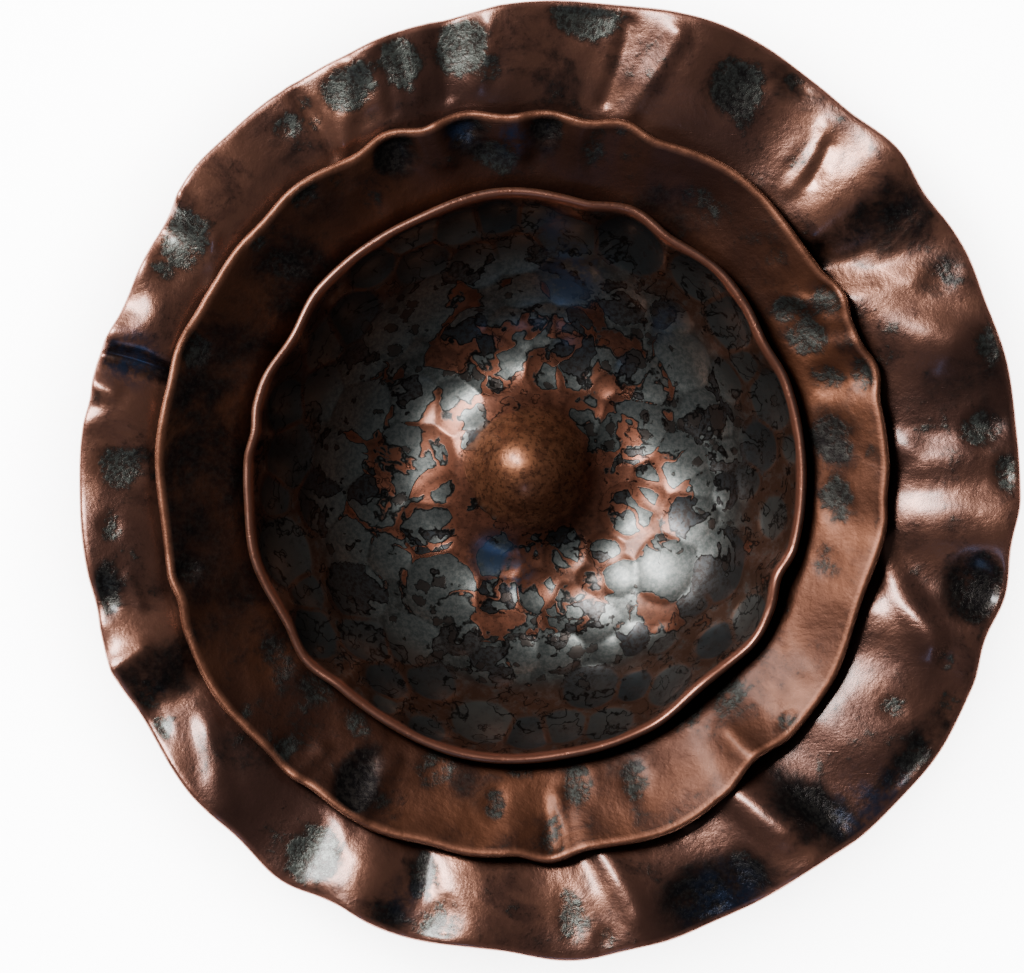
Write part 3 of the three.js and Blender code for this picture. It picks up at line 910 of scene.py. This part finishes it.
outer.data.materials.append(
    worn_copper(
        "worn_copper",
        brown=rgb(0.33, 0.160, 0.110),
        dark_brown=rgb(0.15, 0.075, 0.058),
        bright=rgb(0.32, 0.15, 0.11),
        light_ash=rgb(0.17, 0.182, 0.163),
        dark_ash=rgb(0.07, 0.077, 0.071),
        base_rough=0.33,
        coat=0.6,
    )
)
middle.data.materials.append(
    worn_copper(
        "dark_copper",
        brown=rgb(0.19, 0.080, 0.046),
        dark_brown=rgb(0.085, 0.038, 0.026),
        bright=rgb(0.34, 0.155, 0.10),
        light_ash=rgb(0.09, 0.096, 0.087),
        dark_ash=rgb(0.035, 0.038, 0.035),
        base_rough=0.48,
        coat=0.05,
    )
)
inner.data.materials.append(patinated_copper("patinated_copper"))

for piece, node, body, slot in (
    (outer, "outer_dish", "outer", "worn_copper"),
    (middle, "middle_bowl", "middle", "dark_copper"),
    (inner, "inner_bowl", "inner", "patinated_copper"),
):
    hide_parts(node)
    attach(piece, body)


# ---------------------------------------------------------------- floor, light, camera

FLOOR_HALF_SIDE = 6.0
PAINTED_SHADOW_REACH = 0.10
PAINTED_SHADOW_GLOW = 0.5  # glow of the floor where the bowls cast their painted shadow
OPEN_GLOW = 5.5  # and where they do not


def floor():
    """A white floor that glows, with a painted shadow: its glow is dimmed near the bowls by ambient
    occlusion.
    """
    mesh = bpy.data.meshes.new("floor")
    corners = ((-1, -1), (1, -1), (1, 1), (-1, 1))
    verts = [(x * FLOOR_HALF_SIDE, y * FLOOR_HALF_SIDE, 0) for x, y in corners]
    mesh.from_pydata(verts, [], [(0, 1, 2, 3)])
    plane = bpy.data.objects.new("floor", mesh)
    bpy.context.scene.collection.objects.link(plane)
    g = Graph("floor_paint")
    paper = g.mix(g.noise(3, 3), rgb(0.86, 0.86, 0.86), rgb(0.9, 0.9, 0.9))
    shader = g.node("ShaderNodeBsdfPrincipled")
    g.put(shader.inputs["Base Color"], paper)
    shader.inputs["Roughness"].default_value = 0.8
    shader.inputs["Emission Color"].default_value = rgb(1, 1, 1)
    # painted shadow: ambient occlusion dims the floor's glow near the bowls
    painted_shadow = g.node("ShaderNodeAmbientOcclusion", samples=8)
    painted_shadow.inputs["Distance"].default_value = PAINTED_SHADOW_REACH
    glow = g.step(painted_shadow.outputs["AO"], 0.3, 1.0, PAINTED_SHADOW_GLOW, OPEN_GLOW)
    g.put(shader.inputs["Emission Strength"], glow)
    g.tree.links.new(shader.outputs[0], g.out.inputs["Surface"])
    mesh.materials.append(g.material)


def area_light(name, azimuth, elevation, distance, width, height, watts, color=(1, 1, 1)):
    """A light that faces the origin; azimuth and elevation in degrees, lengths in metres."""
    data = bpy.data.lights.new(name, "AREA")
    data.shape = "RECTANGLE"
    data.size, data.size_y = width, height
    data.energy = watts
    data.color = color
    light = bpy.data.objects.new(name, data)
    a, e = math.radians(azimuth), math.radians(elevation)
    way = Vector((math.cos(a) * math.cos(e), math.sin(a) * math.cos(e), math.sin(e)))
    light.location = way * distance
    light.rotation_euler = way.to_track_quat("Z", "Y").to_euler()
    bpy.context.scene.collection.objects.link(light)


floor()
area_light(
    "window", azimuth=142, elevation=50, distance=1.9, width=0.42, height=1.0, watts=38,
)
area_light(
    "low_window", azimuth=152, elevation=18, distance=2.2, width=1.0, height=0.5, watts=7,
)
area_light(
    "sky", azimuth=-100, elevation=42, distance=2.4, width=0.3, height=0.7, watts=1.6,
    color=(0.35, 0.55, 1.0),
)

world = bpy.data.worlds.new("studio")
world.use_nodes = True
background = world.node_tree.nodes["Background"]
background.inputs["Color"].default_value = (0.9, 0.95, 1.0, 1)
background.inputs["Strength"].default_value = 0.09
bpy.context.scene.world = world

# The camera looks straight down. In metres, except the sensor.
PICTURE_WIDTH = 0.384  # what the picture shows at the height of the rims
PICTURE_X = -0.01425
PICTURE_Y = -0.00225
RIM_HEIGHT = 0.068
CAMERA_ABOVE_RIM = 2.0
SENSOR_MM = 36
camera_data = bpy.data.cameras.new("camera")
camera_data.sensor_width = SENSOR_MM
camera_data.lens = SENSOR_MM * CAMERA_ABOVE_RIM / PICTURE_WIDTH
camera = bpy.data.objects.new("camera", camera_data)
camera.location = (PICTURE_X, PICTURE_Y, RIM_HEIGHT + CAMERA_ABOVE_RIM)
bpy.context.scene.collection.objects.link(camera)
bpy.context.scene.camera = camera

bpy.context.scene.view_settings.view_transform = "AgX"
bpy.context.scene.view_settings.look = "AgX - Medium High Contrast"
